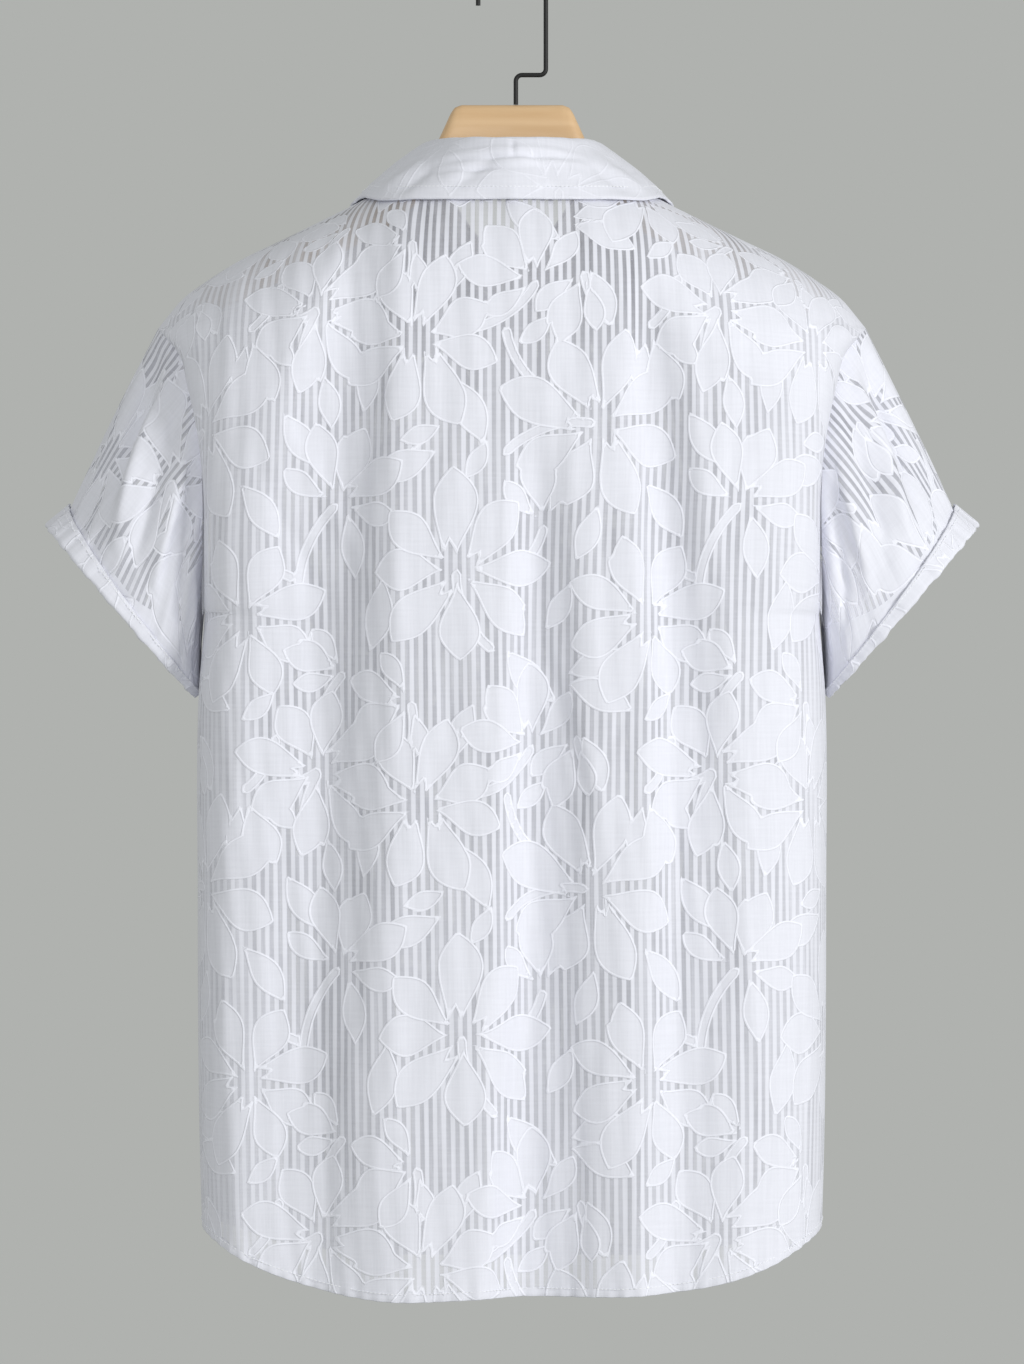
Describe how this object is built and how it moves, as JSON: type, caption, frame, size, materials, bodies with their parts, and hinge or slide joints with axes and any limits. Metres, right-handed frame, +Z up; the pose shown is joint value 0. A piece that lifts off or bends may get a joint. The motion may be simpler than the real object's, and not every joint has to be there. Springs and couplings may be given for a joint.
{
  "type": "short-sleeved jacquard shirt on a hanger",
  "caption": "Short-sleeved button shirt with collar, turned-up sleeve ends and curved hem, filled out and hanging on a wooden hanger with a wire hook.",
  "frame": {"origin": "inside top of the hook, where a rail carries the hanger", "axes": "+Z up, -Y out of the shirt's front, +X towards the wearer's left"},
  "size_m": [0.6076, 0.2131, 0.861],
  "materials": {
    "cloth": "white jacquard with sheer stripes and woven flowers",
    "collar_cloth": "white jacquard, doubled and interlined",
    "button": "white pearl-like resin",
    "wood": "light wood, satin lacquer",
    "wire": "black lacquered steel wire"
  },
  "bodies": {
    "root": {"back": "cloth", "front_left": "cloth", "front_right": "cloth", "sleeve_left": "cloth", "sleeve_right": "cloth", "collar": "collar_cloth", "collar_stand": "collar_cloth", "button_1": "button", "button_2": "button", "button_3": "button", "button_4": "button", "button_5": "button", "button_6": "button", "button_7": "button", "hanger": "wood", "hook": "wire"}
  },
  "joints": []
}
